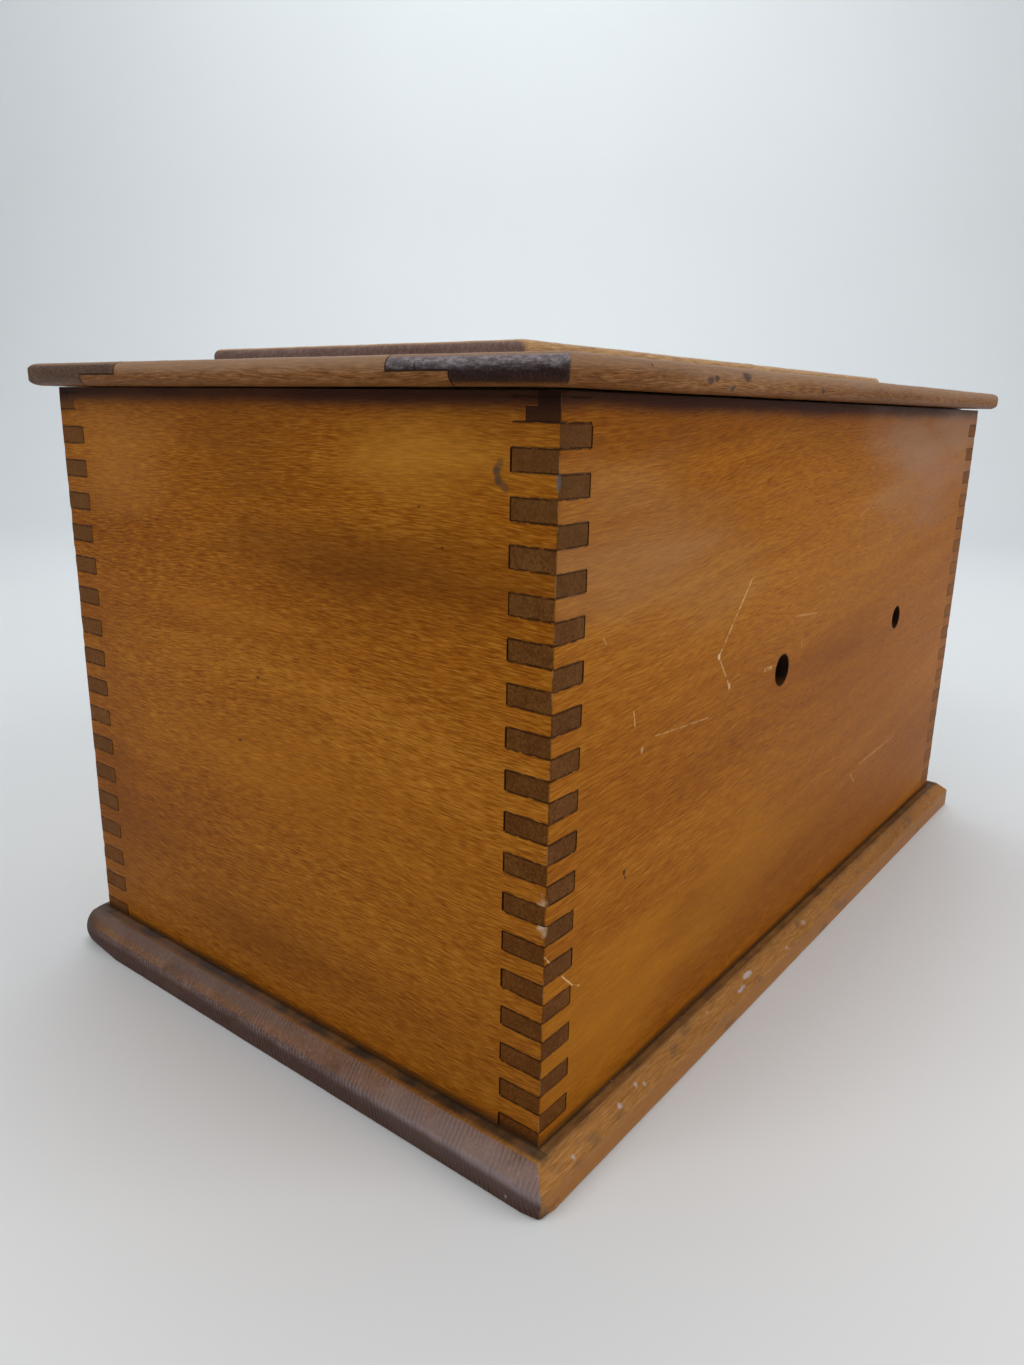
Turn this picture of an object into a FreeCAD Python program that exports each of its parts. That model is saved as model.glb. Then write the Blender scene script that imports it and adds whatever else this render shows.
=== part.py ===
import FreeCAD, Part
import os

# Wooden money box: four boards finger-jointed into a case, on a bevelled base board,
# under a hinged framed lid with a raised panel, a coin slot and a small lock inside.
# Millimetres. Origin at the middle of the underside, X along the box, front towards -Y.

Vec = FreeCAD.Vector
X_AXIS, Y_AXIS, Z_AXIS = Vec(1, 0, 0), Vec(0, 1, 0), Vec(0, 0, 1)

# ---- Driving dimensions: case ----
body_length = 318.0
body_width = 189.0
wall_height = 175.0
long_wall = 12.0             # front and back boards
short_wall = 11.0            # left and right boards
finger = 5.0                 # height of one finger
first_finger = 3.9           # part finger left at the bottom of the long boards
least_top_finger = 4.0
corner_round = 0.6
rebate_width = 6.3           # step that the lid's lining drops into
rebate_depth = 3.0
ledge_width = 3.3            # narrower step below it
ledge_depth = 3.0

# ---- Driving dimensions: two bores through the front board ----
bore_height = 95.0           # above the base board
bore_large_from_left = 123.0
bore_large_radius = 5.0
bore_small_from_left = 234.0
bore_small_radius = 4.4

# ---- Driving dimensions: base board ----
base_thickness = 11.5
base_side_overhang = 9.3
base_front_overhang = 7.8
bevel_run = 4.8
bevel_drop = 4.2
base_arris_round = 1.4
base_foot_round = 0.8
base_screw_margin = 42.0     # from a board's end to its first base screw

# ---- Driving dimensions: lid ----
lid_gap = 0.5                # daylight between the walls and the lid frame
lid_side_overhang = 6.3
lid_front_overhang = 6.2
rail_thickness = 6.7
long_rail_width = 48.0
short_rail_width = 48.0
lap_length = 18.0
lap_thickness = 3.3
nose_radius = 2.9
lid_corner_round = 1.2
panel_end_overlap = 10.0     # how far the raised panel lies over the short rails
panel_side_overlap = 8.3     # and over the long rails
panel_rise = 5.4
panel_edge_round = 2.2
panel_corner_round = 3.0
panel_fit = 0.15
lining_fit = 0.5
lining_seat_gap = 0.1
lining_screw_margin = 22.0
coin_slot_length = 38.0
coin_slot_width = 5.0
coin_slot_lead = 1.0         # how far the mouth is wider than the slot, all round
coin_slot_chamfer = 0.95

# ---- Driving dimensions: hinges ----
hinge_length = 50.0
hinge_from_end = 58.0        # from the case's end to the middle of a hinge
knuckle_count = 5
knuckle_radius = 1.9
knuckle_side_gap = 0.2
knuckle_clearance = 0.3
hinge_leaf = 0.8
hinge_wall_drop = 13.0
hinge_seat_fit = 0.2         # round the lid leaf's seat in the back board
hinge_lid_edge = 0.5         # from the lid leaf's edge to the back board's rebate
hinge_screw_pitch = 18.0
hinge_wall_screw_drop = 8.5
hinge_pin_radius = 0.8
hinge_running_fit = 0.05

# ---- Driving dimensions: lock and strike ----
lock_width = 40.0
lock_reach = 46.0
lock_depth = 12.5
lock_plate_width = 58.0
lock_plate = 1.5
lock_wall = 1.2
lock_front_gap = 1.5
lock_backset = 33.5
lock_screw_inset = 8.0       # from the lock's front and back edges
lock_post_radius = 3.0
lock_post_bite = 0.8         # how far a post runs into the lock's walls
bolt_width = 14.0
bolt_thickness = 5.6
bolt_head_length = 20.0
bolt_tail_length = 24.0
bolt_tail_width = 5.5
bolt_tail_offset = 2.0       # how far the tail stands out past the head's side
bolt_travel = 6.0
bolt_fit = 0.15
key_pin_radius = 1.3
key_pin_stand = 1.0          # above the lock's mounting plate
keyhole_radius = 3.0
keyhole_slot_width = 3.0
keyhole_slot_reach = 7.5
key_notch_length = 7.0
key_notch_depth = 4.0
spring_strip = 0.4
spring_chord = 26.0
strike_length = 40.0
strike_height = 10.2
strike_thickness = 1.2
strike_clearance = 0.3
strike_screw_spacing = 30.0
escutcheon_width = 14.0
escutcheon_length = 28.0
escutcheon_thickness = 0.8
escutcheon_pin_spacing = 22.0

# ---- Fastener sizes: head radius, shank radius, length ----
BASE_SCREW = (3.4, 1.75, 30.0)
LINING_SCREW = (2.4, 1.25, 8.0)
HINGE_WALL_SCREW = (1.55, 0.85, 8.0)
HINGE_LID_SCREW = (1.55, 0.85, 5.0)
LOCK_SCREW = (2.2, 1.2, 9.0)
LOCK_CAP_SCREW = (2.0, 1.1, 5.0)
STRIKE_SCREW = (2.0, 1.1, 8.0)
ESCUTCHEON_PIN = (1.1, 0.5, 5.0)
driver_slot_width = 0.6
driver_slot_share = 0.45     # of the head's depth
base_screw_sink = 0.5

# ---- Levels and faces that follow from them ----
wall_bottom = base_thickness
wall_top = wall_bottom + wall_height
lid_underside = wall_top + lid_gap
lid_top = lid_underside + rail_thickness
panel_top = lid_top + panel_rise
left_face, right_face = -body_length / 2, body_length / 2
front_face, back_face = -body_width / 2, body_width / 2
lid_left = left_face - lid_side_overhang
lid_front = front_face - lid_front_overhang
lining_bottom = wall_top - rebate_depth + lining_seat_gap
hinge_lid_reach = long_wall - rebate_width - hinge_lid_edge


def box(x_span, y_span, z_span):
    """A block between three pairs of faces."""
    size = [span[1] - span[0] for span in (x_span, y_span, z_span)]
    return Part.makeBox(*size, Vec(x_span[0], y_span[0], z_span[0]))


def across(half):
    """The span that is symmetric about the middle plane."""
    return (-half, half)


def both_ends(span):
    """A span and its mirror image about the middle plane."""
    return [span, (-span[1], -span[0])]


def turned(outline, foot, direction):
    """A turned piece: an outline of (radius, height) points spun about its axis."""
    wire = Part.makePolygon([Vec(r, 0, h) for r, h in outline + outline[:1]])
    solid = Part.Face(wire).revolve(Vec(0, 0, 0), Z_AXIS, 360)
    solid.Placement = FreeCAD.Placement(foot, FreeCAD.Rotation(Z_AXIS, direction))
    return solid


def slot_block(length, width, z_span):
    """A block with half-round ends, long way along X."""
    straight = length / 2 - width / 2
    middle = box(across(straight), across(width / 2), z_span)
    for x in across(straight):
        end = Part.makeCylinder(width / 2, z_span[1] - z_span[0], Vec(x, 0, z_span[0]))
        middle = middle.fuse(end)
    return middle.removeSplitter()


def is_upright(edge):
    """True for a straight vertical edge."""
    box_of_edge = edge.BoundBox
    return box_of_edge.XLength < 1e-6 and box_of_edge.YLength < 1e-6


def is_level_at(edge, height):
    """True for an edge that lies flat at the given height."""
    box_of_edge = edge.BoundBox
    return abs(box_of_edge.ZMin - height) < 1e-6 and abs(box_of_edge.ZMax - height) < 1e-6


def round_edges(solid, radius, wanted):
    """Round every edge that the test picks."""
    return solid.makeFillet(radius, [edge for edge in solid.Edges if wanted(edge)])


def screw(size, head_centre, direction, sink=0.0):
    """A slotted countersunk screw, and the pocket that holds it with its head sunk."""
    head_radius, shank_radius, length = size
    head_depth = head_radius - shank_radius
    below_head = [(shank_radius, head_depth), (shank_radius, length - 2 * shank_radius), (0, length)]
    solid = turned([(0, 0), (head_radius, 0)] + below_head, head_centre, direction)
    pocket = turned([(0, -sink), (head_radius, -sink), (head_radius, 0)] + below_head,
                    head_centre, direction) if sink else solid
    slot = box(across(head_radius), across(driver_slot_width / 2),
               (-head_depth, head_depth * driver_slot_share))
    slot.Placement = solid.Placement
    return solid.cut(slot), pocket


def screw_set(size, head_centres, direction, sink=0.0):
    """Like screws as one group, with their pockets."""
    pairs = [screw(size, centre, direction, sink) for centre in head_centres]
    return Part.makeCompound([pair[0] for pair in pairs]), [pair[1] for pair in pairs]


def cut_pockets(solid, pockets):
    """Drill a piece wherever a fastener passes through it."""
    for pocket in pockets:
        if solid.BoundBox.intersect(pocket.BoundBox):
            solid = solid.cut(pocket)
    return solid


def evenly(first, last, count):
    """Evenly spaced places from first to last."""
    return [first + (last - first) * i / (count - 1) for i in range(count)]


def make_case():
    """Front, back, left and right boards with interlocking fingers and a stepped top edge."""
    finger_count = int((wall_height - first_finger - least_top_finger) // finger)
    finger_count -= 1 - finger_count % 2
    z_span = (wall_bottom, wall_top)
    envelope = round_edges(box(across(right_face), across(back_face), z_span),
                           corner_round, is_upright)
    steps = [(rebate_width, (wall_top - rebate_depth, wall_top)),
             (ledge_width, (wall_top - rebate_depth - ledge_depth, wall_top - rebate_depth))]

    front = box(across(right_face), (front_face, front_face + long_wall), z_span)
    for index in range(0, finger_count, 2):
        foot = wall_bottom + first_finger + index * finger
        for x_span in both_ends((left_face, left_face + short_wall)):
            front = front.cut(box(x_span, (front_face, front_face + long_wall),
                                  (foot, foot + finger)))
    for width, step_span in steps:
        inner = front_face + long_wall
        front = front.cut(box(across(right_face), (inner - width, inner), step_span))
    back = front.mirror(Vec(0, 0, 0), Y_AXIS)

    sides = []
    for x_span, inner_sign in zip(both_ends((left_face, left_face + short_wall)), (-1, 1)):
        side = box(x_span, across(back_face), z_span)
        for width, step_span in steps:
            well = box(across(right_face - short_wall + width),
                       across(back_face - long_wall + width), step_span)
            side = side.cut(well)
        sides.append(side.cut(front).cut(back))
    left, right = sides
    return [board.common(envelope) for board in (front, back, left, right)]


def drill_bores(front):
    """The two holes that pass straight through the front board."""
    bores = [(bore_large_from_left, bore_large_radius), (bore_small_from_left, bore_small_radius)]
    for from_left, radius in bores:
        start = Vec(left_face + from_left, front_face - 1, wall_bottom + bore_height)
        front = front.cut(Part.makeCylinder(radius, long_wall + 2, start, Y_AXIS))
    return front


def bevelled_section(half_width, along, half_length):
    """The base board's section across one direction, run out along the other."""
    outline = [(-half_width, 0), (half_width, 0), (half_width, base_thickness - bevel_drop),
               (half_width - bevel_run, base_thickness),
               (bevel_run - half_width, base_thickness),
               (-half_width, base_thickness - bevel_drop)]
    if along == X_AXIS:
        points = [Vec(-half_length, side, height) for side, height in outline]
    else:
        points = [Vec(side, -half_length, height) for side, height in outline]
    return Part.Face(Part.makePolygon(points + points[:1])).extrude(along * 2 * half_length)


def make_base():
    """One board, bevelled all round its upper edge."""
    half_x = right_face + base_side_overhang
    half_y = back_face + base_front_overhang
    board = bevelled_section(half_y, X_AXIS, half_x)
    board = board.common(bevelled_section(half_x, Y_AXIS, half_y))
    brow = base_thickness - bevel_drop
    board = round_edges(board, base_arris_round,
                        lambda edge: is_upright(edge) or is_level_at(edge, brow))
    return round_edges(board, base_foot_round, lambda edge: is_level_at(edge, 0.0))


def base_screw_places():
    """Screws up through the base board into the middle of each wall board."""
    z = base_screw_sink
    long_y = back_face - long_wall / 2
    short_x = right_face - short_wall / 2
    places = []
    for x in evenly(left_face + base_screw_margin, right_face - base_screw_margin, 3):
        places += [Vec(x, -long_y, z), Vec(x, long_y, z)]
    for y in across(back_face - base_screw_margin):
        places += [Vec(-short_x, y, z), Vec(short_x, y, z)]
    return places


def nosed_slab(half_x, half_y, z_span):
    """A slab with a round nose on all four sides, mitred at its corners."""
    slab = round_edges(box(across(half_x), across(half_y), z_span), lid_corner_round, is_upright)
    reach = half_x + half_y
    for x, y in ((half_x, reach), (reach, half_y)):
        bar = round_edges(box(across(x), across(y), z_span), nose_radius,
                          lambda edge: edge.Length > 2 * reach - 1)
        slab = slab.common(bar)
    return slab


def make_lid_frame():
    """Two long rails and two short rails, lapped at the corners under one rounded edge."""
    half_x, half_y = -lid_left, -lid_front
    z_span = (lid_underside, lid_top)
    lower = (lid_underside, lid_underside + lap_thickness)
    envelope = nosed_slab(half_x, half_y, z_span)
    front = box(across(half_x), (lid_front, lid_front + long_rail_width), z_span)
    inner = lid_front + long_rail_width
    for x_span in both_ends((lid_left, lid_left + short_rail_width)):
        front = front.cut(box(x_span, (inner - lap_length, inner), lower))
    left = box((lid_left, lid_left + short_rail_width), across(-inner), z_span)
    left = left.fuse(box((lid_left, lid_left + short_rail_width),
                         across(lap_length - inner), lower)).removeSplitter()
    front, left = front.common(envelope), left.common(envelope)
    return front, front.mirror(Vec(0, 0, 0), Y_AXIS), left, left.mirror(Vec(0, 0, 0), X_AXIS)


def make_panel():
    """The raised board: a field that lies over the rails, and a plug that fills the frame."""
    plug_x = -lid_left - short_rail_width
    plug_y = -lid_front - long_rail_width
    field = box(across(plug_x + panel_end_overlap), across(plug_y + panel_side_overlap),
                (lid_top, panel_top))
    field = round_edges(field, panel_corner_round, is_upright)
    field = round_edges(field, panel_edge_round, lambda edge: is_level_at(edge, panel_top))
    plug = box(across(plug_x - panel_fit), across(plug_y - panel_fit), (lid_underside, lid_top))
    return field.fuse(plug).removeSplitter()


def make_lining():
    """The thin board under the frame that drops into the walls' top rebate."""
    half_x = right_face - short_wall + rebate_width - lining_fit
    half_y = back_face - long_wall + rebate_width - lining_fit
    return box(across(half_x), across(half_y), (lining_bottom, lid_underside))


def lining_screw_places():
    """Screws up through the lining into the middle of the rails."""
    lining_x = right_face - short_wall + rebate_width - lining_fit
    lining_y = back_face - long_wall + rebate_width - lining_fit
    half_x, half_y = lining_x - lining_screw_margin, lining_y - lining_screw_margin
    places = []
    for y in across(half_y):
        places += [Vec(x, y, lining_bottom) for x in across(half_x)]
        places += [Vec(x, y, lining_bottom) for x in across(half_x / 2)]
    return places + [Vec(x, 0, lining_bottom) for x in across(half_x)]


def coin_slot():
    """The cutter for the slot: straight through, with a chamfered mouth."""
    through = slot_block(coin_slot_length, coin_slot_width, (lining_bottom - 1, panel_top + 1))
    mouth = slot_block(coin_slot_length + 2 * coin_slot_lead, coin_slot_width + 2 * coin_slot_lead,
                       (panel_top - coin_slot_lead, panel_top + 1))
    rim = [edge for edge in mouth.Edges if is_level_at(edge, panel_top - coin_slot_lead)]
    return through.fuse(mouth.makeChamfer(coin_slot_chamfer, rim))


def keyhole(z_span):
    """The cutter for the keyhole: a round hole with a slot away from the bolt."""
    y = front_face + long_wall + lock_front_gap + lock_backset
    hole = Part.makeCylinder(keyhole_radius, z_span[1] - z_span[0], Vec(0, y, z_span[0]))
    slot = box(across(keyhole_slot_width / 2), (y, y + keyhole_slot_reach), z_span)
    return hole.fuse(slot)


def make_hinge(middle_x):
    """One butt hinge: a leaf on the back board, a leaf under the lid, and the pin."""
    axis_y = back_face + knuckle_radius + knuckle_clearance
    axis_z = lid_underside - knuckle_radius - knuckle_clearance
    start, end = middle_x - hinge_length / 2, middle_x + hinge_length / 2
    wall_leaf = box((start, end), (back_face, back_face + hinge_leaf),
                    (axis_z - hinge_wall_drop, axis_z))
    lid_leaf = box((start, end), (back_face - hinge_lid_reach, axis_y),
                   (lid_underside - hinge_leaf, lid_underside))
    edges = evenly(start, end, knuckle_count + 1)
    room = knuckle_radius + knuckle_clearance
    for index, (low, high) in enumerate(zip(edges, edges[1:])):
        on_wall = index % 2 == 0
        low += 0 if index == 0 else knuckle_side_gap / 2
        high -= 0 if index == knuckle_count - 1 else knuckle_side_gap / 2
        bore = hinge_pin_radius + (0 if on_wall else hinge_running_fit)
        barrel = Part.makeCylinder(knuckle_radius, high - low, Vec(low, axis_y, axis_z), X_AXIS)
        hole = Part.makeCylinder(bore, high - low, Vec(low, axis_y, axis_z), X_AXIS)
        notch = (low - knuckle_side_gap, high + knuckle_side_gap)
        if on_wall:
            lid_leaf = lid_leaf.cut(box(notch, (axis_y - room, axis_y + room),
                                        (axis_z, lid_underside)))
            wall_leaf = wall_leaf.fuse(barrel).cut(hole)
        else:
            wall_leaf = wall_leaf.cut(box(notch, (back_face, axis_y),
                                          (axis_z - room, axis_z + room)))
            lid_leaf = lid_leaf.fuse(barrel).cut(hole)
    pin = Part.makeCylinder(hinge_pin_radius, hinge_length, Vec(start, axis_y, axis_z), X_AXIS)
    return wall_leaf.removeSplitter(), lid_leaf.removeSplitter(), pin


def hinge_seat(middle_x):
    """The shallow seat in the back board's top edge that takes a lid leaf's thickness."""
    half = hinge_length / 2 + hinge_seat_fit
    return box((middle_x - half, middle_x + half), (back_face - long_wall, back_face),
               (lid_underside - hinge_leaf - hinge_seat_fit, wall_top))


def hinge_screw_places(middle_x):
    """Screw places for one hinge: into the back board, and up into the lid."""
    axis_z = lid_underside - knuckle_radius - knuckle_clearance
    columns = [middle_x - hinge_screw_pitch, middle_x, middle_x + hinge_screw_pitch]
    wall = [Vec(x, back_face + hinge_leaf, axis_z - hinge_wall_screw_drop) for x in columns]
    lid = [Vec(x, back_face - hinge_lid_reach / 2, lid_underside - hinge_leaf) for x in columns]
    return wall, lid


# ---- Lock: places shared by its pieces ----
lock_front = front_face + long_wall + lock_front_gap
lock_back = lock_front + lock_reach
lock_floor = lining_bottom - lock_depth
cap_top = lock_floor + lock_wall
plate_bottom = lining_bottom - lock_plate
bolt_span = (cap_top + bolt_fit, cap_top + bolt_fit + bolt_thickness)
tail_outer = bolt_width / 2 + bolt_tail_offset
tail_x = (tail_outer - bolt_tail_width, tail_outer)
key_y = lock_front + lock_backset


def lock_corner_posts():
    """Post centres inside the lock's back corners and front corners."""
    inset = lock_wall + lock_post_radius - lock_post_bite
    half = lock_width / 2 - inset
    return [(-half, lock_front + inset), (half, lock_front + inset),
            (-half, lock_back - inset), (half, lock_back - inset)]


def make_lock_case():
    """Mounting plate with the lock's four walls, its corner posts and a rib over the bolt."""
    plate = box(across(lock_plate_width / 2), (lock_front, lock_back), (plate_bottom, lining_bottom))
    walls = box(across(lock_width / 2), (lock_front, lock_back), (cap_top, plate_bottom))
    hollow = box(across(lock_width / 2 - lock_wall),
                 (lock_front + lock_wall, lock_back - lock_wall), (cap_top, plate_bottom))
    case = plate.fuse(walls.cut(hollow))
    for x, y in lock_corner_posts():
        post = Part.makeCylinder(lock_post_radius, plate_bottom - cap_top, Vec(x, y, cap_top))
        case = case.fuse(post)
    rib_y = lock_front + bolt_head_length - 2 * lock_wall
    case = case.fuse(box(across(bolt_width / 2), (rib_y - lock_wall, rib_y),
                         (bolt_span[1] + bolt_fit, plate_bottom)))
    window = box(across(bolt_width / 2 + bolt_fit), (lock_front, lock_front + lock_wall),
                 (cap_top, bolt_span[1] + bolt_fit))
    return case.cut(window).cut(keyhole((plate_bottom, lining_bottom))).removeSplitter()


def make_bolt():
    """Sliding bolt: a square head, and an offset tail with the notch that the key turns in."""
    head = box(across(bolt_width / 2), (lock_front, lock_front + bolt_head_length), bolt_span)
    tail_start = lock_front + bolt_head_length
    tail = box(tail_x, (tail_start, tail_start + bolt_tail_length), bolt_span)
    notch = box((tail_x[0], tail_x[0] + key_notch_depth),
                (key_y - key_notch_length / 2, key_y + key_notch_length / 2), bolt_span)
    return head.fuse(tail).removeSplitter().cut(notch)


def make_bolt_spring():
    """A bowed steel strip between the lock's side wall and the bolt's tail."""
    wall_x = lock_width / 2 - lock_wall
    sagitta = wall_x - tail_x[1] - bolt_fit
    radius = (spring_chord ** 2 / 4 + sagitta ** 2) / (2 * sagitta)
    middle_y = lock_front + lock_reach / 2
    centre = Vec(tail_x[1] + bolt_fit + radius, middle_y, bolt_span[0])
    height = bolt_thickness - bolt_fit
    strip = Part.makeCylinder(radius, height, centre)
    strip = strip.cut(Part.makeCylinder(radius - spring_strip, height, centre))
    room = box((tail_x[1], wall_x), (middle_y - spring_chord, middle_y + spring_chord),
               (bolt_span[0], bolt_span[1]))
    return strip.common(room)


def make_strike():
    """Strike plate let into the front board, and the mortise behind it."""
    bolt_middle = (bolt_span[0] + bolt_span[1]) / 2
    inner = front_face + long_wall
    plate_z = (bolt_middle - strike_height / 2, bolt_middle + strike_height / 2)
    recess = box(across(strike_length / 2), (inner - strike_thickness, inner), plate_z)
    mouth_x = across(bolt_width / 2 + strike_clearance)
    mouth_z = (bolt_span[0] - strike_clearance, bolt_span[1] + strike_clearance)
    reach = bolt_travel - lock_front_gap + 2 * strike_clearance
    mortise = box(mouth_x, (inner - reach, inner), mouth_z)
    places = [Vec(x, inner, bolt_middle) for x in across(strike_screw_spacing / 2)]
    return recess.cut(mortise), recess, mortise, places


def make_escutcheon():
    """A small oval plate round the keyhole, its recess in the raised panel, and its pins' places."""
    middle_y = key_y + (keyhole_slot_reach - keyhole_radius) / 2
    plate = slot_block(escutcheon_length, escutcheon_width,
                       (panel_top - escutcheon_thickness, panel_top))
    plate.rotate(Vec(0, 0, 0), Z_AXIS, 90)
    plate.translate(Vec(0, middle_y, 0))
    places = [Vec(0, middle_y + side, panel_top) for side in across(escutcheon_pin_spacing / 2)]
    return plate.cut(keyhole((panel_top - escutcheon_thickness, panel_top))), plate, places


def build():
    """Make every piece and return it by its node's name."""
    front, back, left, right = make_case()
    base = make_base()
    base_screws, base_pockets = screw_set(BASE_SCREW, base_screw_places(), Z_AXIS,
                                          base_screw_sink)

    strike, strike_recess, mortise, strike_places = make_strike()
    strike_screws, strike_pockets = screw_set(STRIKE_SCREW, strike_places, -Y_AXIS)
    front = drill_bores(front).cut(strike_recess).cut(mortise)

    hinges = {}
    wall_places, lid_places = [], []
    for side, middle_x in (("left", left_face + hinge_from_end),
                           ("right", right_face - hinge_from_end)):
        hinges[side] = make_hinge(middle_x)
        back = back.cut(hinge_seat(middle_x))
        wall, lid = hinge_screw_places(middle_x)
        wall_places += wall
        lid_places += lid
    wall_screws, wall_pockets = screw_set(HINGE_WALL_SCREW, wall_places, -Y_AXIS)
    lid_screws, lid_pockets = screw_set(HINGE_LID_SCREW, lid_places, Z_AXIS)

    front_rail, back_rail, left_rail, right_rail = make_lid_frame()
    lining_screws, lining_pockets = screw_set(LINING_SCREW, lining_screw_places(), Z_AXIS)

    lock_screw_x = (lock_width + lock_plate_width) / 4
    lock_places = [Vec(x, y, plate_bottom) for x in across(lock_screw_x)
                   for y in (lock_front + lock_screw_inset, lock_back - lock_screw_inset)]
    lock_screws, lock_pockets = screw_set(LOCK_SCREW, lock_places, Z_AXIS)
    cap_places = [Vec(x, y, lock_floor) for x, y in lock_corner_posts()]
    cap_screws, cap_pockets = screw_set(LOCK_CAP_SCREW, cap_places, Z_AXIS)
    cap = box(across(lock_width / 2), (lock_front, lock_back), (lock_floor, cap_top))
    key_pin = turned([(0, 0), (key_pin_radius, 0),
                      (key_pin_radius, lining_bottom + key_pin_stand - lock_floor - key_pin_radius),
                      (0, lining_bottom + key_pin_stand - lock_floor)],
                     Vec(0, key_y, lock_floor), Z_AXIS)
    escutcheon, escutcheon_recess, pin_places = make_escutcheon()
    pins, pin_pockets = screw_set(ESCUTCHEON_PIN, pin_places, -Z_AXIS)

    key_cut = keyhole((lining_bottom - 1, panel_top + 1))
    panel = make_panel().cut(coin_slot()).cut(key_cut).cut(escutcheon_recess)
    lining = make_lining().cut(coin_slot()).cut(key_cut)
    through_lid = lining_pockets + lock_pockets + lid_pockets + pin_pockets

    pieces = {
        "base_board": cut_pockets(base, base_pockets),
        "base_screws": base_screws,
        "front_wall": cut_pockets(front, base_pockets + strike_pockets),
        "back_wall": cut_pockets(back, base_pockets + wall_pockets),
        "left_wall": cut_pockets(left, base_pockets),
        "right_wall": cut_pockets(right, base_pockets),
        "strike_plate": cut_pockets(strike, strike_pockets),
        "strike_screws": strike_screws,
        "hinge_wall_screws": wall_screws,
        "hinge_lid_screws": lid_screws,
        "lid_front_rail": cut_pockets(front_rail, through_lid),
        "lid_back_rail": cut_pockets(back_rail, through_lid),
        "lid_left_rail": cut_pockets(left_rail, through_lid),
        "lid_right_rail": cut_pockets(right_rail, through_lid),
        "lid_panel": cut_pockets(panel, through_lid),
        "lid_lining": cut_pockets(lining, through_lid),
        "lining_screws": lining_screws,
        "lock_case": cut_pockets(make_lock_case(), lock_pockets + cap_pockets),
        "lock_cap": cut_pockets(cap, cap_pockets).cut(key_pin),
        "lock_cap_screws": cap_screws,
        "lock_key_pin": key_pin,
        "lock_screws": lock_screws,
        "lock_bolt": make_bolt(),
        "lock_spring": make_bolt_spring(),
        "keyhole_escutcheon": cut_pockets(escutcheon, pin_pockets),
        "escutcheon_pins": pins,
    }
    for side, (wall_leaf, lid_leaf, pin) in hinges.items():
        pieces["hinge_wall_leaf_" + side] = cut_pockets(wall_leaf, wall_pockets)
        pieces["hinge_lid_leaf_" + side] = cut_pockets(lid_leaf, lid_pockets)
        pieces["hinge_pin_" + side] = pin
    return pieces


os.makedirs("parts", exist_ok=True)
for name, shape in build().items():
    bounds = shape.BoundBox
    print(name, len(shape.Solids), "solid(s)", round(shape.Volume / 1000, 2), "cm3, valid", shape.isValid(),
          "z", round(bounds.ZMin, 2), "to", round(bounds.ZMax, 2))
    shape.exportStep("parts/" + name + ".step")
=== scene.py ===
import math

import bmesh
import bpy
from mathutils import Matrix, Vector, noise


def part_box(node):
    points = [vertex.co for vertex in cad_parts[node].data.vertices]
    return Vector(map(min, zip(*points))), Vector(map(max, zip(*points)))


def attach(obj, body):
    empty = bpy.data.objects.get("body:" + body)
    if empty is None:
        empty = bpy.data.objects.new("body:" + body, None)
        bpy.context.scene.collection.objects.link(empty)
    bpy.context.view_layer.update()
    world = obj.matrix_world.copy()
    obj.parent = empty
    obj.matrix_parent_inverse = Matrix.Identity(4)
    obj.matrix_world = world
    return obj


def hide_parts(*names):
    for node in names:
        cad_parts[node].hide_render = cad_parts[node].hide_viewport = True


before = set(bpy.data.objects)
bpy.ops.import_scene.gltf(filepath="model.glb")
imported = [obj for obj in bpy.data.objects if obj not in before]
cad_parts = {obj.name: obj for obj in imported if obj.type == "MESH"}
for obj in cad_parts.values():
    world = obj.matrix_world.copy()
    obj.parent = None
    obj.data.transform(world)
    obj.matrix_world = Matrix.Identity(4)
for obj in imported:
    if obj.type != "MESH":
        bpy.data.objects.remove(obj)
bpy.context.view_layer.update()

# ---------------------------------------------------------------------------------------
# Base board. One flat-sawn plank under the case, grain along the box, bevelled round its
# upper edge and worn on every corner. Its two ends show the saw's slanting tooth marks.
# The case stands on it and is screwed to it from below.


class Feed:
    """A value inside a finish. Arithmetic on it adds the nodes that work it out."""

    def __init__(self, finish, socket):
        self.finish, self.socket = finish, socket

    def reckon(self, operation, first, second=0.0):
        return self.finish.maths(operation, first, second)

    def __add__(self, other):
        return self.reckon("ADD", self, other)

    def __sub__(self, other):
        return self.reckon("SUBTRACT", self, other)

    def __rsub__(self, other):
        return self.reckon("SUBTRACT", other, self)

    def __mul__(self, other):
        return self.reckon("MULTIPLY", self, other)

    def __truediv__(self, other):
        return self.reckon("DIVIDE", self, other)

    def __abs__(self):
        return self.reckon("ABSOLUTE", self)

    __radd__ = __add__


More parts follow.
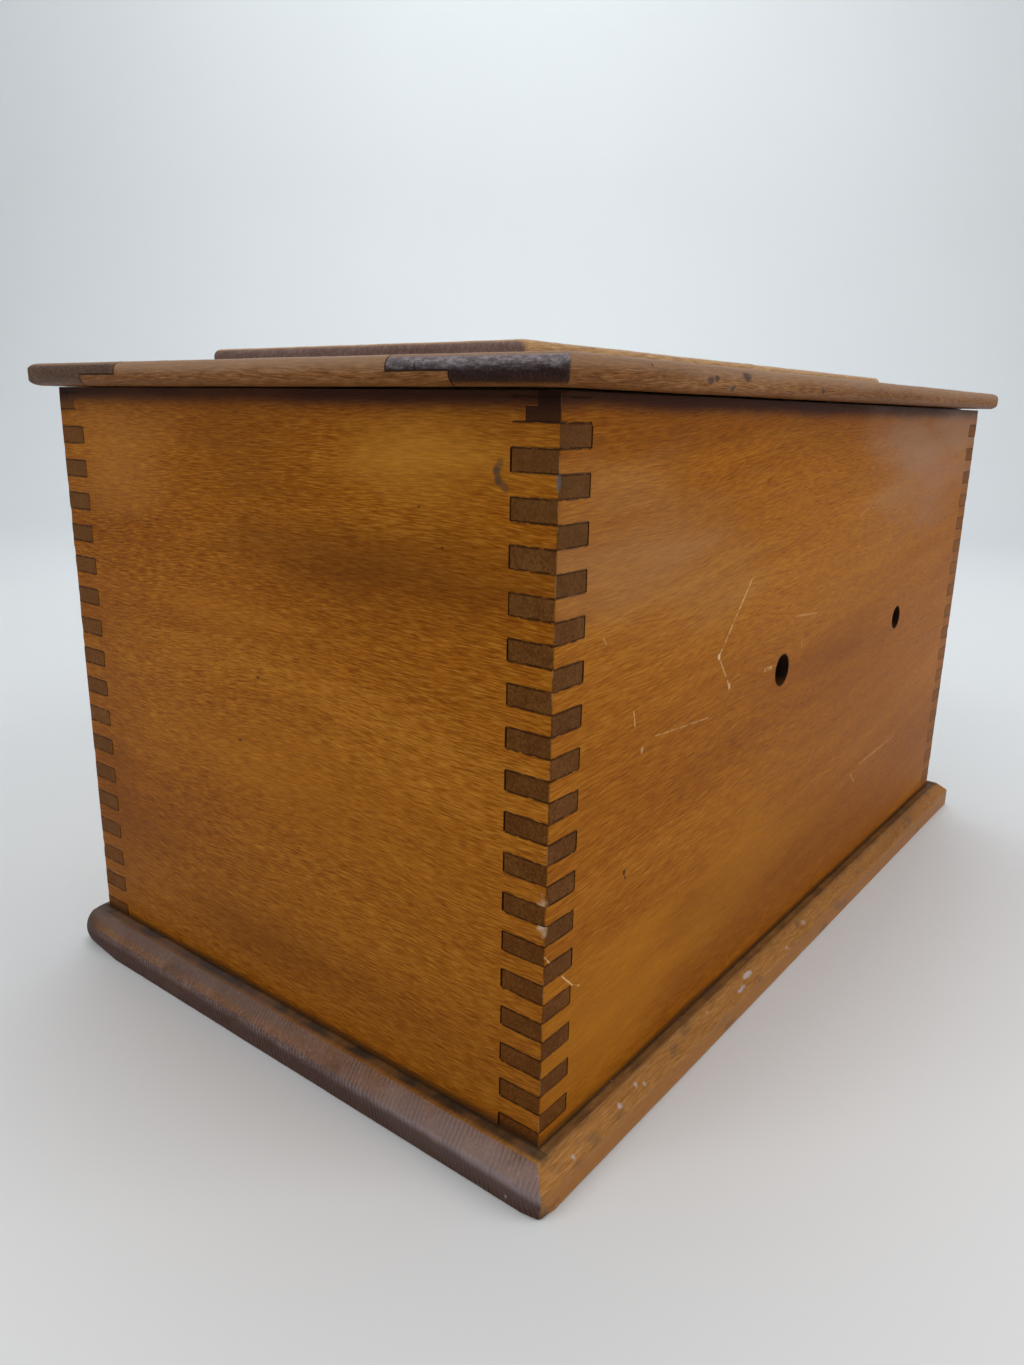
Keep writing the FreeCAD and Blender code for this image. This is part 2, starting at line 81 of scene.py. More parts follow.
class Finish:
    """One finish: a material whose colour, gloss, coat and relief are built up in layers."""

    def __init__(self, name, fixed=None):
        self.material = bpy.data.materials.new(name)
        self.material.use_nodes = True
        self.tree = self.material.node_tree
        self.shader = self.tree.nodes["Principled BSDF"]
        for socket, value in (fixed or {}).items():
            self.shader.inputs[socket].default_value = value
        self.place = self.node("ShaderNodeTexCoord", output="Object")
        self.facing = self.node("ShaderNodeTexCoord", output="Normal")
        self.relief = 0.0

    def node(self, kind, settings=None, inputs=None, output=0):
        """Add one node: its settings first, then the values or links of its sockets."""
        node = self.tree.nodes.new(kind)
        for name, value in (settings or {}).items():
            if name == "stops":
                ramp = node.color_ramp
                while len(ramp.elements) < len(value):
                    ramp.elements.new(1.0)
                for stop, (position, colour) in zip(ramp.elements, value):
                    stop.position = position
                    stop.color = (*colour, 1.0)
            else:
                setattr(node, name, value)
        for key, value in (inputs or {}).items():
            if isinstance(value, Feed):
                self.tree.links.new(value.socket, node.inputs[key])
            else:
                node.inputs[key].default_value = value
        return Feed(self, node.outputs[output])

    def maths(self, operation, first, second=0.0):
        """One sum on one or two values."""
        return self.node("ShaderNodeMath", {"operation": operation}, {0: first, 1: second})

    def parts(self, vector):
        """The X, Y and Z of a vector."""
        return [self.node("ShaderNodeSeparateXYZ", None, {0: vector}, axis) for axis in "XYZ"]

    def scaled(self, stretch, shift=(0.0, 0.0, 0.0)):
        """The place on the piece, stretched and shifted for a texture."""
        return self.node("ShaderNodeVectorMath", {"operation": "MULTIPLY_ADD"},
                         {0: self.place, 1: stretch, 2: shift})

    def cloud(self, stretch, shift=(0.0, 0.0, 0.0), detail=2.0, roughness=0.5, distortion=0.0):
        """Soft noise from 0 to 1, drawn out by the stretch along each axis (per metre)."""
        return self.node("ShaderNodeTexNoise", None,
                         {"Vector": self.scaled(stretch, shift), "Scale": 1.0, "Detail": detail,
                          "Roughness": roughness, "Distortion": distortion}, "Fac")

    def ease(self, value, low, high):
        """0 below low, 1 above high, and a smooth rise between them."""
        return self.node("ShaderNodeMapRange", {"interpolation_type": "SMOOTHSTEP"},
                         {"Value": value, "From Min": low, "From Max": high})

    def ramp(self, value, stops):
        """Colours laid along a value."""
        return self.node("ShaderNodeValToRGB", {"stops": stops}, {"Fac": value}, "Color")

    def mix(self, share, first, second):
        """Two colours mixed, by the share of the second."""
        first, second = [c if isinstance(c, Feed) else (*c, 1.0) for c in (first, second)]
        return self.node("ShaderNodeMix", {"data_type": "RGBA"},
                         {0: share, 6: first, 7: second}, 2)

    def vector(self, operation, first, second, output="Vector"):
        """Vector arithmetic."""
        return self.node("ShaderNodeVectorMath", {"operation": operation},
                         {0: first, 1: second}, output)

    def patch(self, centre, reach, ragged=0.35, grain=(60.0, 60.0, 60.0), core=0.35):
        """1 at a centre, falling to 0 at its reach along each axis, with a ragged rim."""
        away = self.vector("DIVIDE", self.vector("SUBTRACT", self.place, centre), reach)
        far = self.vector("LENGTH", away, (0.0, 0.0, 0.0), "Value")
        rim = self.cloud(grain, centre, 3.0)
        return 1.0 - self.ease(far + (rim - 0.5) * ragged * 2.0, core, 1.0)

    def stroke(self, start, end, half_width):
        """1 along a straight scratch, 0 a half width away from it."""
        start, run = Vector(start), Vector(end) - Vector(start)
        away = self.vector("SUBTRACT", self.place, start)
        share = self.node("ShaderNodeMath", {"operation": "DIVIDE", "use_clamp": True},
                          {0: self.vector("DOT_PRODUCT", away, run, "Value"), 1: run.dot(run)})
        along = self.node("ShaderNodeVectorMath", {"operation": "SCALE"}, {0: run, "Scale": share})
        gap = self.vector("DISTANCE", away, along, "Value")
        return 1.0 - self.ease(gap, half_width * 0.3, half_width)

    def tint(self, share, colour, gloss=0.0, relief=0.0):
        """Lay a colour over the finish where the share says, with its gloss and relief."""
        self.colour = self.mix(share, self.colour, colour)
        if gloss:
            self.gloss = self.gloss + share * gloss
        if relief:
            self.relief = self.relief + share * relief

    def settle(self, depth):
        """Link the layers to the shader, with relief one unit high standing that deep."""
        bump = self.node("ShaderNodeBump", None, {"Height": self.relief, "Distance": depth})
        wanted = {"Base Color": self.colour, "Roughness": self.gloss, "Coat Weight": self.coat,
                  "Normal": bump}
        for socket, value in wanted.items():
            if isinstance(value, Feed):
                self.tree.links.new(value.socket, self.shader.inputs[socket])
            else:
                self.shader.inputs[socket].default_value = value
        return self.material


def wood(name, grain, seed, tones, end_tones, coat, band=20.0, streak=1.3, saw=0.0,
         lean=0.0, sheen=1.14):
    """Varnished wood from one board: grain figure with painted glints, pores and rings at the
    ends.

    Band is how many broad stripes there are to a metre, streak the strength of the fibres, lean
    the climb of the grain along the board, sheen the index of refraction, and saw the depth of
    the tooth marks on the ends of a board whose grain runs along X.
    """
    finish = Finish(name, {"IOR": sheen, "Coat IOR": 1.45, "Coat Roughness": 0.20,
                           "Specular Tint": (1.0, 0.60, 0.24, 1.0)})
    along = 0 if grain == "X" else 1
    tone_stops = (0.15, 0.5, 0.85)

    def run(lengthwise, crosswise):
        stretch = [crosswise] * 3
        stretch[along] = lengthwise
        return tuple(stretch)

    shift = (seed * 3.7, seed * 1.9, seed * 2.3)
    sway = (finish.cloud((8.0, 8.0, 8.0), shift, 1.0) - 0.5) * 0.012
    if lean:
        sway = sway - finish.parts(finish.place)[along] * lean
    rise = finish.node("ShaderNodeCombineXYZ", None, {"Z": sway})
    straight = finish.place
    finish.place = finish.vector("ADD", straight, rise)
    broad = finish.cloud(run(3.5, band), shift, 3.0, 0.55, 0.5)
    rings = finish.cloud(run(8.0, 210.0), shift, 4.0, 0.6, 0.4)
    fibre = finish.cloud(run(200.0, 3100.0), shift, 2.0, 0.6)
    fleck = finish.cloud(run(180.0, 2700.0), shift, 2.0, 0.6)
    # Painted glints: pale crisp dashes along the grain, laid into the colour as highlights.
    painted_glint_noise = finish.cloud(run(240.0, 2900.0), shift[::-1], 1.0, 0.5)
    tone = 0.5 + (broad - 0.5) * 0.7 + (rings - 0.5) * 0.35 + (fibre - 0.5) * streak
    face = finish.ramp(tone, list(zip(tone_stops, tones)))
    dashes = finish.ease(fleck, 0.52, 0.64)
    face = finish.mix(dashes * (0.30 * streak), face, tones[0])
    painted_glints = finish.ease(painted_glint_noise, 0.56, 0.70)
    face = finish.mix(painted_glints * (0.28 * streak), face, tones[2])
    finish.place = straight

    pores = finish.cloud(run(60.0, 1500.0), shift, 3.0, 0.7)
    arcs = finish.cloud(run(2.0, 90.0), shift, 3.0, 0.6, 1.2)
    end_tone = 0.5 + (pores - 0.5) * 1.1 + (arcs - 0.5) * 0.5
    end = finish.ramp(end_tone, list(zip(tone_stops, end_tones)))
    facing = finish.parts(finish.facing)[along]
    finish.is_end = finish.ease(abs(facing), 0.45, 0.8)
    finish.colour = finish.mix(finish.is_end, face, end)
    finish.gloss = 0.37 + (fibre - 0.5) * 0.5 + finish.is_end * 0.16
    finish.coat = coat - finish.is_end * (coat * 0.35) if coat else 0.0
    finish.relief = fibre * 0.7 + rings * 0.3 - dashes * 0.4 + finish.is_end * pores
    if saw:
        tooth_rate = 4700.0
        _, y, z = finish.parts(finish.place)
        wander = finish.cloud((150.0, 150.0, 40.0), shift, 3.0)
        slant = y * 0.98 - z * 0.22
        teeth = finish.maths("SINE", slant * tooth_rate + wander * 8.0)
        strength = finish.cloud((120.0, 120.0, 120.0), shift, 3.0)
        toward_front = 1.0 - finish.ease(y, base_low.y + 0.2 * base_high.y, base_high.y)
        teeth = teeth * (0.3 + finish.ease(strength, 0.40, 0.62) * 0.7) * finish.is_end \
            * (0.35 + toward_front * 0.65)
        finish.relief = finish.relief + teeth * saw
        finish.tint(finish.ease(teeth, 0.0, 0.9) * 0.60, end_tones[2])
        finish.tint(finish.ease(0.0 - teeth, 0.1, 0.9) * 0.60, end_tones[0])
    return finish


def worked_copy(node, ease, cuts, shape, smooth_all=False):
    """A board as a new piece: its CAD shape cleaned, edges eased, cut finely and shaped."""
    same_plane, sharp_edge, crease = [math.radians(angle) for angle in (0.4, 40.0, 42.0)]
    form = bmesh.new()
    form.from_mesh(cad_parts[node].data)
    bmesh.ops.remove_doubles(form, verts=form.verts, dist=1e-6)
    bmesh.ops.dissolve_limit(form, angle_limit=same_plane, verts=form.verts, edges=form.edges)
    if ease:
        sharp = [edge for edge in form.edges
                 if edge.is_manifold and edge.calc_face_angle() > sharp_edge]
        bmesh.ops.bevel(form, geom=sharp, offset=ease, segments=2, profile=0.5,
                        affect="EDGES", clamp_overlap=True)
    for axis, places in cuts:
        normal = Vector([float(axis == name) for name in "XYZ"])
        for place in places:
            everything = form.verts[:] + form.edges[:] + form.faces[:]
            bmesh.ops.bisect_plane(form, geom=everything, dist=1e-7, plane_co=normal * place,
                                   plane_no=normal)
    form.normal_update()
    moved = [shape(vertex.co.copy(), vertex.normal.copy()) for vertex in form.verts]
    for vertex, place in zip(form.verts, moved):
        vertex.co = place
    bmesh.ops.triangulate(form, faces=[face for face in form.faces if len(face.verts) > 4])
    form.normal_update()
    for face in form.faces:
        flat = max(abs(part) for part in face.normal) > 0.9995
        face.smooth = smooth_all or not flat
    for edge in form.edges:
        edge.smooth = edge.is_manifold and edge.calc_face_angle(0.0) < crease
    mesh = bpy.data.meshes.new(node + "_worked")
    form.to_mesh(mesh)
    form.free()
    piece = bpy.data.objects.new(node + "_worked", mesh)
    bpy.context.collection.objects.link(piece)
    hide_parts(node)
    return piece


def every(step, low, high):
    """Places from low to high, a step apart."""
    count = int((high - low) / step)
    return [low + step * (index + 0.5) for index in range(count)]


def dress(node, finish):
    """Give a CAD piece its finish."""
    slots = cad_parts[node].data.materials
    slots.clear()
    slots.append(finish)


mm = 0.001
base_low, base_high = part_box("base_board")
case_low, case_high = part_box("front_wall")[0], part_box("back_wall")[1]

base_finish = wood("base_board_wood", "X", 1.0,
                   ((0.160, 0.060, 0.014), (0.330, 0.140, 0.032), (0.490, 0.250, 0.090)),
                   ((0.062, 0.036, 0.032), (0.140, 0.088, 0.078), (0.285, 0.205, 0.190)),
                   coat=0.05, band=40.0, streak=0.8, saw=1.4)
bx, by, bz = base_finish.parts(base_finish.place)
lower_shade_and_reflection = 1.0 - base_finish.ease(bz + base_finish.cloud((60.0, 60.0, 60.0)) * 2.0 * mm,
                                  5.6 * mm, 8.0 * mm)
# Painted highlight: the near end's saw-marked end grain laid paler, pinkish grey, towards the
# front.
near_end_highlight = base_finish.patch((base_low.x, base_low.y, 8.0 * mm),
                             (9.0 * mm, 86.0 * mm, 9.0 * mm), 0.4)
base_finish.tint(near_end_highlight * base_finish.is_end * 0.66, (0.310, 0.245, 0.238))
far_tip = base_finish.patch((base_low.x, base_high.y, 7.0 * mm),
                            (16.0 * mm, 24.0 * mm, 12.0 * mm), 0.3)
base_finish.tint(far_tip * 0.80, (0.085, 0.050, 0.043))
# Painted shade on the lower faces of the ends, and a painted orange reflection on the front's
# lower face.
base_finish.tint(lower_shade_and_reflection * base_finish.is_end * 0.72, (0.058, 0.025, 0.016))
base_finish.tint(lower_shade_and_reflection * (1.0 - base_finish.is_end) * 0.60, (0.330, 0.125, 0.022))
smudge = base_finish.cloud((70.0, 70.0, 160.0), (3.0, 8.0, 1.0), 4.0)
from_case = base_finish.maths("MAXIMUM", abs(bx) - case_high.x, abs(by) - case_high.y)
beside = base_finish.ease(abs(bx) - case_high.x, 0.0, 0.5 * mm)
thick_grime = base_finish.ease(base_finish.cloud((80.0, 80.0, 80.0), detail=4.0), 0.42, 0.62)
ledge_grime = (1.0 - base_finish.ease(from_case, 2.4 * mm, 4.4 * mm)) \
    * (0.55 + thick_grime * 0.45)
base_finish.tint(ledge_grime * (0.62 + beside * 0.30), (0.040, 0.030, 0.022), gloss=0.2)
ledge_dust = base_finish.ease(bz, 8.6 * mm, 9.6 * mm) \
    * base_finish.ease(0.0 - bx, case_high.x, case_high.x + 2.0 * mm) \
    * base_finish.ease(by + smudge * 60.0 * mm, -20.0 * mm, 60.0 * mm)
base_finish.tint(ledge_dust * 0.45, (0.125, 0.108, 0.112))
joint_line = 1.0 - base_finish.ease(from_case, 0.2 * mm, 1.1 * mm)
base_finish.tint(joint_line * 0.7, (0.016, 0.010, 0.007))
smudges = base_finish.ease(smudge, 0.56, 0.68)
base_finish.tint(smudges * 0.45, (0.095, 0.062, 0.045))
paint_specks = base_finish.ease(base_finish.cloud((430.0, 430.0, 430.0), (7.0, 1.0, 3.0)),
                                0.75, 0.78)
base_finish.tint(paint_specks * 0.45, (0.62, 0.58, 0.60))
for along_front, up, length, share in (
        (-153.0, 8.4, 0.9, 0.5), (-131.0, 8.9, 1.2, 0.5), (-127.5, 7.6, 0.7, 0.4),
        (-122.0, 9.6, 1.0, 0.5), (-119.0, 8.6, 0.7, 0.4), (-60.0, 8.4, 3.6, 0.6),
        (-53.0, 9.6, 3.4, 0.6), (-26.0, 7.8, 2.0, 0.3), (-8.0, 9.2, 2.4, 0.3)):
    spot = base_finish.patch((along_front * mm, base_low.y + 2.4 * mm, up * mm),
                             (length * mm, 2.4 * mm, 0.7 * mm), 0.9, (420.0, 420.0, 420.0))
    base_finish.tint(spot * share, (0.56, 0.53, 0.58))
near_foot = base_finish.patch((base_low.x, base_low.y, 0.0), (7.0 * mm, 7.0 * mm, 5.0 * mm), 0.5,
                              (400.0, 400.0, 400.0))
base_finish.tint(near_foot * 0.8, (0.075, 0.036, 0.026))

far_end_round = 11.0 * mm
tip_reach = 26.0 * mm
tip_drawn_in = 0.34
half_height = 5.0 * mm
chip_reach = 5.5 * mm


def wear_base(place, normal):
    """Hand wear: soft dips, the far left corner rubbed round and in, the near one chipped."""
    if abs(place.x) < case_high.x and abs(place.y) < case_high.y:
        return place
    slow = noise.noise(place * 55.0) * 0.5 + 0.5
    quick = noise.noise(place * 260.0) * 0.5 + 0.5
    out = Vector((-place.x, place.y)) - (base_high.xy - Vector((far_end_round, far_end_round)))
    if out.x > 0 and out.y > 0 and out.length > far_end_round:
        out = out.normalized() * far_end_round
        place.x = -(base_high.x - far_end_round + out.x)
        place.y = base_high.y - far_end_round + out.y
    depth = (0.16 * slow + 0.10 * quick) * mm
    from_tip = (place.xy - Vector((base_low.x, base_high.y))).length
    rubbed = max(0.0, 1.0 - from_tip / tip_reach) * ((place.z - half_height) / half_height) ** 2
    for axis in (0, 1):
        past_case = max(0.0, abs(place[axis]) - case_high[axis])
        place[axis] -= math.copysign(past_case * tip_drawn_in * rubbed, place[axis])
    if place.z < 0.4 * mm:
        normal = Vector((normal.x, normal.y, 0.0))
    place = place - normal * depth
    chip = 1.0 - (place - Vector((base_low.x, base_low.y, 0.0))).length / chip_reach
    if chip > 0:
        inward = chip * (0.3 + 1.3 * quick) * mm
        place += Vector((inward, inward, 0.0))
    return place


base_step, base_layer = 2.4 * mm, 1.2 * mm
base_cuts = [("X", every(base_step, base_low.x, base_high.x)),
             ("Y", every(base_step, base_low.y, base_high.y)),
             ("Z", every(base_layer, base_low.z, base_high.z))]
base_board = worked_copy("base_board", 0.0, base_cuts, wear_base)
base_board.data.materials.append(base_finish.settle(0.00012))
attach(base_board, "case")

# ---------------------------------------------------------------------------------------
# Steel fixings: the base screws, the lining screws, and the lock, which its own screws hold up
# under the lid. Plain turned or pressed steel, dull with age, with soft patches of brown rust.


def metal(name, clean, stained, roughness, seed):
    """Old bare metal: brushed one way, stained in soft patches."""
    finish = Finish(name, {"Metallic": 1.0})
    patches = finish.cloud((90.0, 90.0, 90.0), (seed, seed, seed), 4.0, 0.6, 0.5)
    brush = finish.cloud((900.0, 40.0, 900.0), (seed, 0.0, 0.0), 2.0, 0.6)
    stain = finish.ease(patches, 0.42, 0.68)
    finish.colour = finish.mix(stain, clean, stained)
    finish.gloss = roughness + stain * 0.25 + (brush - 0.5) * 0.16
    finish.coat = 0.0
    finish.relief = brush * 0.5 + patches * 0.5
    return finish.settle(0.00003)


steel = metal("dull_steel", (0.46, 0.45, 0.44), (0.20, 0.13, 0.09), 0.34, 2.0)
for node in ("base_screws", "lining_screws", "lock_screws", "lock_cap_screws", "lock_case",
             "lock_cap", "lock_key_pin", "lock_spring"):
    dress(node, steel)

# ---------------------------------------------------------------------------------------
# Case. Four boards of a fine pale wood under honey varnish, finger-jointed at the corners.
# Each finger's end grain drinks the stain and goes dark, and the sockets were cut a touch
# deep, which leaves a black line at the end of every finger. The joints are glued.

finger = 5.0 * mm
first_finger = case_low.z + 3.9 * mm
ledge_level = case_high.z - 6.3 * mm
chip_level = 73.0 * mm
rub_width = 1.6 * mm
lift_from, lift_depth, top_lift = 140.0 * mm, 70.0 * mm, 0.40 * mm
long_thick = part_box("front_wall")[1].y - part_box("front_wall")[0].y
short_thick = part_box("left_wall")[1].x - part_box("left_wall")[0].x
long_inner = case_high.y - long_thick
short_inner = case_high.x - short_thick

case_tones = ((0.165, 0.040, 0.002), (0.310, 0.095, 0.005), (0.480, 0.190, 0.020))
case_end_tones = ((0.060, 0.018, 0.004), (0.130, 0.046, 0.009), (0.210, 0.092, 0.026))
wall_end_tones = {
    "right_wall": ((0.150, 0.050, 0.008), (0.235, 0.084, 0.016), (0.330, 0.135, 0.034)),
    "back_wall": ((0.085, 0.027, 0.005), (0.165, 0.060, 0.011), (0.240, 0.104, 0.027))}


def case_wood(name, grain, seed, end_tones, lean, streak, sheen):
    """A case board's finish: black finger lines, painted shade under the lid, grime at the foot,
    and rubbed corners whose pale edges are partly a painted highlight.
    """
    finish = wood(name, grain, seed, case_tones, end_tones, coat=0.03, streak=streak, lean=lean,
                  sheen=sheen)
    x, y, z = finish.parts(finish.place)
    past_line = (z - first_finger) / finger
    course = finish.maths("FLOOR", past_line)
    own = finish.node("ShaderNodeTexWhiteNoise", {"noise_dimensions": "1D"},
                      {"W": course + seed * 0.37}, "Value")
    finish.tint(finish.is_end * own * 0.30, (0.060, 0.022, 0.006))
    high_up = finish.ease(z, case_low.z + 90.0 * mm, case_high.z)
    finish.tint(finish.is_end * high_up * 0.22, (0.125, 0.070, 0.026))
    line = finish.maths("PINGPONG", past_line, 0.5)
    in_joint = finish.ease(abs(x), short_inner - 0.1 * mm, short_inner) \
        * finish.ease(abs(y), long_inner - 0.1 * mm, long_inner)
    seam = (1.0 - finish.ease(line * finger, 0.14 * mm, 0.42 * mm)) * in_joint
    broken = finish.ease(finish.cloud((420.0, 420.0, 420.0), (seed, 1.0, 6.0), 2.0), 0.30, 0.52)
    drift = finish.cloud((35.0, 35.0, 35.0), (seed, 0.0, 0.0), 3.0)
    low_shade = 1.0 - finish.ease(z, case_low.z, case_low.z + 80.0 * mm)
    finish.tint(low_shade * 0.18, (0.160, 0.040, 0.005))
    # Painted shade: darker towards the top of the walls, darkest right under the lid.
    shade = finish.ease(z + drift * 12.0 * mm, case_high.z - 14.0 * mm, case_high.z + 8.0 * mm)
    finish.tint(shade * 0.50, (0.100, 0.028, 0.008))
    under_lid_shade = finish.ease(z + drift * 2.4 * mm, case_high.z - 4.2 * mm, case_high.z - 0.2 * mm)
    finish.tint(under_lid_shade * 0.92, (0.034, 0.013, 0.010))
    finish.tint(seam * broken * 0.85, (0.022, 0.008, 0.003), relief=-0.8)
    foot = 1.0 - finish.ease(z - drift * 2.0 * mm, case_low.z - 0.6 * mm, case_low.z + 1.4 * mm)
    finish.tint(foot * 0.7, (0.050, 0.022, 0.010))
    # Rubbed pale wood along the standing corners, partly a painted highlight on their edges.
    to_corner = finish.maths("MAXIMUM", case_high.x - abs(x), case_high.y - abs(y))
    rubbed_edge_and_highlight = (1.0 - finish.ease(to_corner, 0.05 * mm, 0.38 * mm)) \
        * finish.ease(finish.cloud((90.0, 90.0, 200.0), (2.0, seed, 0.0), 3.0), 0.48, 0.66)
    finish.tint(rubbed_edge_and_highlight * 0.42, (0.60, 0.40, 0.21))
    pits = finish.ease(finish.cloud((420.0, 420.0, 420.0), (seed, 5.0, 2.0)), 0.79, 0.80)
    finish.tint(pits * 0.7, (0.050, 0.022, 0.008))
    return finish


def shade_face(finish, centre, reach, share, colour):
    """A soft cloud of darker or paler colour on a board's face, leaving its end grain alone.
    It draws the wood's own figure, and also painted sheen and painted reflection.
    """
    cloud = finish.patch(centre, reach, 0.8, (14.0, 14.0, 60.0), -0.1)
    finish.tint(cloud * (1.0 - finish.is_end) * share, colour)


def mark_left_wall(finish):
    """Its own figure and marks: dark and pale clouds, a curled stain, specks, corner chips, and
    a painted sheen high up near the near corner.
    """
    x = case_low.x
    # The pale cloud at y -54, z 172, high up near the near corner, is a painted sheen.
    for y, z, wide, high, share, colour in (
            (8, 168, 44, 34, 0.55, (0.150, 0.046, 0.005)),
            (-34, 146, 90, 20, 0.66, (0.125, 0.036, 0.003)),
            (-54, 172, 44, 15, 0.55, (0.500, 0.215, 0.026)),
            (64, 166, 44, 26, 0.40, (0.430, 0.180, 0.040)),
            (84, 60, 34, 110, 0.50, (0.170, 0.046, 0.002)),
            (-12, 84, 90, 20, 0.35, (0.420, 0.150, 0.010)),
            (5, 30, 90, 15, 0.40, (0.160, 0.046, 0.004)),
            (20, 128, 50, 12, 0.30, (0.420, 0.150, 0.014))):
        shade_face(finish, (x, y * mm, z * mm), (0.1, wide * mm, high * mm), share, colour)
    for start, end in (((-79.5, 172), (-78.5, 170.5)), ((-78.5, 170.5), (-79, 168.5)),
                       ((-79, 168.5), (-81, 167))):
        curl = finish.stroke((x, start[0] * mm, start[1] * mm),
                             (x, end[0] * mm, end[1] * mm), 1.35 * mm)
        finish.tint(curl * 0.6, (0.066, 0.046, 0.028))
    for y, z, size in ((-56.5, 161.5, 0.5), (-63.5, 153, 0.6), (4, 111, 0.9), (13.5, 91, 0.8)):
        speck = finish.patch((x, y * mm, z * mm), (mm, size * mm, size * 0.7 * mm), 0.3,
                             (900.0, 900.0, 900.0))
        finish.tint(speck * 0.85, (0.040, 0.018, 0.008))
    blue = finish.patch((x, case_low.y, 169.0 * mm), (0.9 * mm, 0.9 * mm, 2.6 * mm), 0.3,
                        (900.0, 900.0, 900.0))
    finish.tint(blue * 0.7, (0.085, 0.120, 0.135))
    chip = finish.patch((x, case_low.y + 0.8 * mm, chip_level),
                        (1.6 * mm, 1.9 * mm, 6.0 * mm), 0.6, (420.0, 420.0, 420.0))
    finish.tint(chip * 0.85, (0.560, 0.400, 0.260), gloss=0.25, relief=-2.0)
    small_chip = finish.patch((x, case_low.y, 123.5 * mm), (0.9 * mm, 0.9 * mm, 1.4 * mm), 0.4,
                              (700.0, 700.0, 700.0))
    finish.tint(small_chip * 0.9, (0.640, 0.470, 0.300), gloss=0.2)


def mark_front_wall(finish):
    """Its own marks: a black tongue end, clouds, pale scratches and specks; painted shade in the
    bores, and a painted sheen and a painted reflection among the clouds.
    """
    y = case_low.y
    bore_level = case_low.z + 95.0 * mm
    for from_left, radius in ((123.0, 5.0), (234.0, 4.4)):
        reach = (radius + 0.5) * mm
        # Painted shade inside each bore, with a thin dark ring at its mouth.
        bore_shade = finish.patch((case_low.x + from_left * mm, y + 6.4 * mm, bore_level),
                              (reach, 60.0 * mm, reach), 0.0, core=0.92)
        finish.tint(bore_shade * 0.85, (0.016, 0.011, 0.009))
    x, _, z = finish.parts(finish.place)
    tongue_end = finish.is_end * finish.ease(z, ledge_level, ledge_level + 0.3 * mm)
    finish.tint(tongue_end * 0.72, (0.020, 0.009, 0.006))
    far_strip = finish.ease(x, short_inner - 0.4 * mm, short_inner)
    finish.tint(far_strip * 0.35, (0.170, 0.060, 0.012))
    # The row at 100, 165 is a painted reflection, a pinkish-grey haze high at the far right; the
    # row at -110, 150 is a painted sheen high up near the near corner.
    for wide, high, across, up, share, colour in (
            (90, 9, 0, 104, 0.45, (0.180, 0.050, 0.004)),
            (110, 36, 100, 165, 0.55, (0.340, 0.215, 0.145)),
            (90, 28, -110, 150, 0.50, (0.420, 0.215, 0.085)),
            (110, 30, -60, 44, 0.40, (0.420, 0.160, 0.012)),
            (60, 22, 80, 70, 0.30, (0.220, 0.064, 0.003)),
            (70, 34, -125, 34, 0.55, (0.520, 0.200, 0.012))):
        shade_face(finish, (across * mm, y, up * mm), (wide * mm, 0.1, high * mm), share, colour)
    broken = finish.ease(finish.cloud((800.0, 800.0, 800.0), (9.0, 2.0, 4.0)), 0.36, 0.52)
    for start, end, width, share in (
            ((-62.5, 139.5), (-81, 119), 0.42, 0.62), ((-81, 119), (-73, 109), 0.34, 0.50),
            ((-30, 122.5), (-11.5, 121), 0.50, 0.24), ((-22, 115.5), (-21.5, 111.5), 0.50, 0.30),
            ((-49.5, 109), (-44.5, 109), 0.90, 0.40), ((-125, 113.5), (-124, 109.5), 0.35, 0.50),
            ((-113.5, 104.5), (-85, 102.5), 0.35, 0.30), ((51.5, 51.5), (93, 52.5), 0.7, 0.20),
            ((42, 49.5), (46.5, 45.5), 0.8, 0.28), ((-159, 63), (-156, 59.5), 0.3, 0.7),
            ((-151.5, 54.5), (-147, 50), 0.3, 0.7), ((-147, 50), (-144, 48.5), 0.3, 0.6),
            ((-140, 134), (-137.5, 131), 0.3, 0.3), ((20, 150), (31, 153), 0.4, 0.18)):
        scratch = finish.stroke((start[0] * mm, y, start[1] * mm), (end[0] * mm, y, end[1] * mm),
                                width * mm)
        finish.tint(scratch * broken * share, (0.780, 0.520, 0.250), gloss=0.1, relief=-0.8)
    for x, z, size, share, colour in (
            (-81, 119, 1.0, 0.7, (0.78, 0.55, 0.30)), (-73, 109, 0.9, 0.65, (0.78, 0.55, 0.30)),
            (-120, 102.5, 0.9, 0.5, (0.66, 0.44, 0.22)),
            (-125.5, 71.5, 0.9, 0.95, (0.035, 0.016, 0.008)),
            (-125, 70, 0.6, 0.9, (0.035, 0.016, 0.008))):
        dot = finish.patch((x * mm, y, z * mm), (size * mm, mm, size * 1.3 * mm), 0.35,
                           (700.0, 700.0, 700.0))
        finish.tint(dot * share, colour)


def wear_case(place):
    """Rub back the standing corners, the near one chipped low down, and lift the far left top."""
    to_x, to_y = case_high.x - abs(place.x), case_high.y - abs(place.y)
    reach = max(to_x, to_y)
    if reach < rub_width:
        bite = noise.noise(place * 420.0) * 0.5 + noise.noise(place * 90.0) * 0.5
        depth = max(0.0, bite + 0.05) * 0.36 * mm
        if place.x < 0 and place.y < 0:
            chip = max(0.0, 1.0 - abs(place.z - chip_level) / (5.0 * mm))
            depth += chip * (0.5 + bite) * 0.9 * mm
        depth *= 1.0 - reach / rub_width
        place -= Vector((math.copysign(depth, place.x), math.copysign(depth, place.y), 0.0))
    if place.x < -lift_from and place.y > 0 and place.z > case_high.z - 0.2 * mm:
        place.z += top_lift * min(1.0, place.y / lift_depth)
    return place


